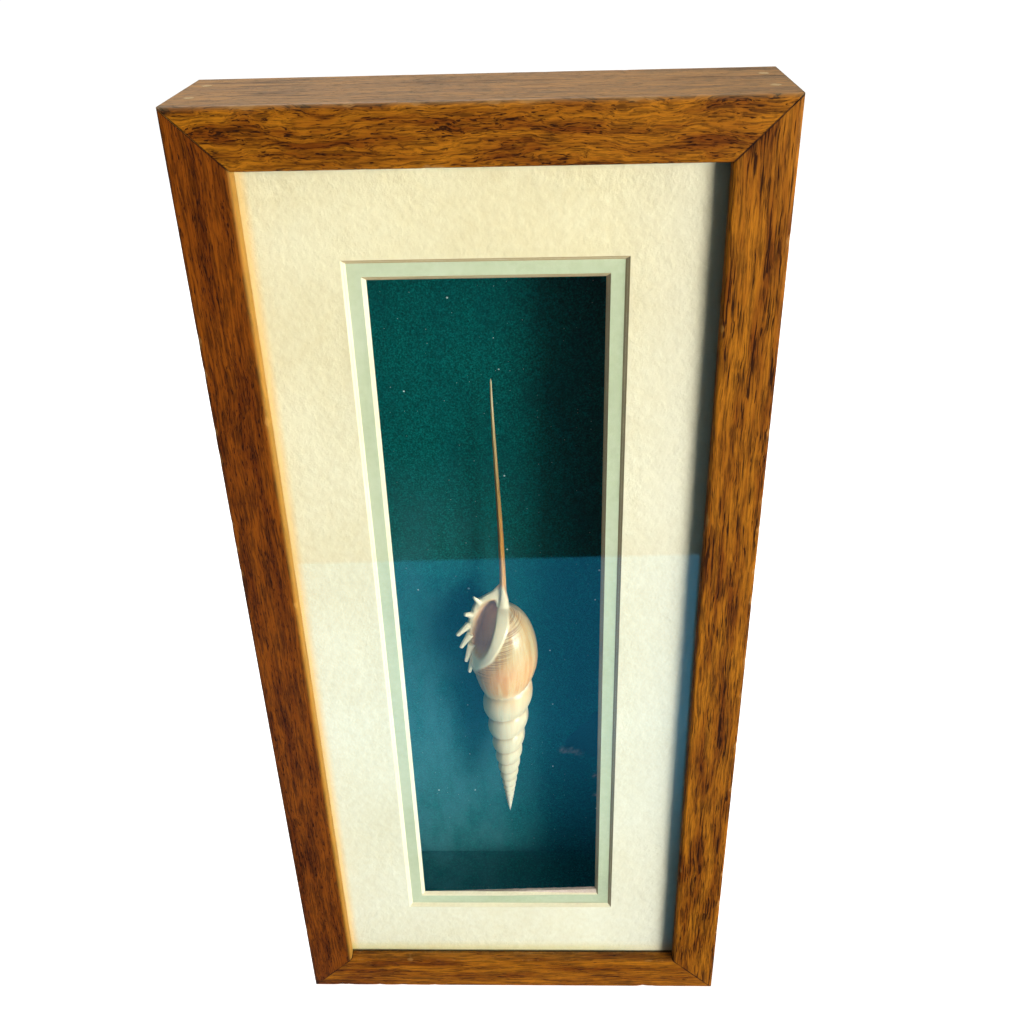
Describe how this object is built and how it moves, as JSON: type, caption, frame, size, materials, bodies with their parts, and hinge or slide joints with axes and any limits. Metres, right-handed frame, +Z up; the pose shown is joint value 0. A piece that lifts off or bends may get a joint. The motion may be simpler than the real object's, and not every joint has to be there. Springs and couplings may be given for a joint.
{
  "type": "shadow box",
  "caption": "Narrow oak wall-hung shadow box with a glazed double mat over a lined well that holds a mounted spindle shell.",
  "frame": {"origin": "middle of the underside, on the plane that the frame stands on, halfway through the wooden frame's depth", "axes": "+Z up along the height, +X to the viewer's right across the width, +Y from the glazed front to the back"},
  "size_m": [0.19, 0.053, 0.404],
  "materials": {
    "oak": "golden brown stain, satin, open grain",
    "pine": "bare planed pine",
    "hardboard": "smooth brown hardboard",
    "wood_filler": "matt pale filler",
    "nail_steel": "bright drawn wire",
    "zinc_steel": "zinc plated, slightly dull",
    "glass": "clear float glass",
    "cream_mat": "cream mat board, faint texture, pale core",
    "mint_mat": "pale green mat board, pale core",
    "raw_board": "raw cut edge of board",
    "teal_suede_board": "teal suede-faced board",
    "foam_board": "white paper-faced foam board",
    "shell": "glossy ivory and tan",
    "clear_glue": "cloudy set glue",
    "bumper_rubber": "matt black rubber"
  },
  "bodies": {
    "case": {"rail_top": "oak", "rail_bottom": "oak", "rail_left": "oak", "rail_right": "oak", "corner_brads": "nail_steel", "brad_putty": "wood_filler", "glass_pane": "glass", "outer_mat": "cream_mat", "inner_mat": "mint_mat", "spacer_top": "pine", "spacer_bottom": "pine", "spacer_left": "pine", "spacer_right": "pine", "well_core_top": "foam_board", "well_core_bottom": "foam_board", "well_core_left": "foam_board", "well_core_right": "foam_board", "well_lining_top": "teal_suede_board", "well_lining_bottom": "teal_suede_board", "well_lining_left": "teal_suede_board", "well_lining_right": "teal_suede_board", "mat_edge_strip": "raw_board", "display_board": "teal_suede_board", "filler_board": "foam_board", "back_panel": "hardboard", "shell": "shell", "glue_pad_belly": "clear_glue", "glue_pad_spire": "clear_glue", "turn_button_screws": "zinc_steel", "hanger_strap_left": "zinc_steel", "hanger_strap_right": "zinc_steel", "hanger_screws": "zinc_steel", "wall_bumpers": "bumper_rubber"},
    "button_top": {"turn_button_top": "zinc_steel"},
    "button_bottom": {"turn_button_bottom": "zinc_steel"},
    "button_left_upper": {"turn_button_left_upper": "zinc_steel"},
    "button_left_lower": {"turn_button_left_lower": "zinc_steel"},
    "button_right_upper": {"turn_button_right_upper": "zinc_steel"},
    "button_right_lower": {"turn_button_right_lower": "zinc_steel"},
    "ring_left": {"hanger_ring_left": "zinc_steel"},
    "ring_right": {"hanger_ring_right": "zinc_steel"}
  },
  "joints": [
    {"name": "turn_top", "type": "hinge", "parent": "case", "child": "button_top", "pos_m": [0, 0.0254, 0.39775], "axis": [0, 1, 0], "continuous": true},
    {"name": "turn_bottom", "type": "hinge", "parent": "case", "child": "button_bottom", "pos_m": [0, 0.0254, 0.00625], "axis": [0, 1, 0], "continuous": true},
    {"name": "turn_left_upper", "type": "hinge", "parent": "case", "child": "button_left_upper", "pos_m": [-0.08875, 0.0254, 0.334], "axis": [0, 1, 0], "continuous": true},
    {"name": "turn_left_lower", "type": "hinge", "parent": "case", "child": "button_left_lower", "pos_m": [-0.08875, 0.0254, 0.07], "axis": [0, 1, 0], "continuous": true},
    {"name": "turn_right_upper", "type": "hinge", "parent": "case", "child": "button_right_upper", "pos_m": [0.08875, 0.0254, 0.334], "axis": [0, 1, 0], "continuous": true},
    {"name": "turn_right_lower", "type": "hinge", "parent": "case", "child": "button_right_lower", "pos_m": [0.08875, 0.0254, 0.07], "axis": [0, 1, 0], "continuous": true},
    {"name": "swing_left", "type": "hinge", "parent": "case", "child": "ring_left", "pos_m": [-0.08875, 0.02627, 0.284], "axis": [1, 0, 0], "range_deg": [0, 172]},
    {"name": "swing_right", "type": "hinge", "parent": "case", "child": "ring_right", "pos_m": [0.08875, 0.02627, 0.284], "axis": [1, 0, 0], "range_deg": [0, 172]}
  ]
}
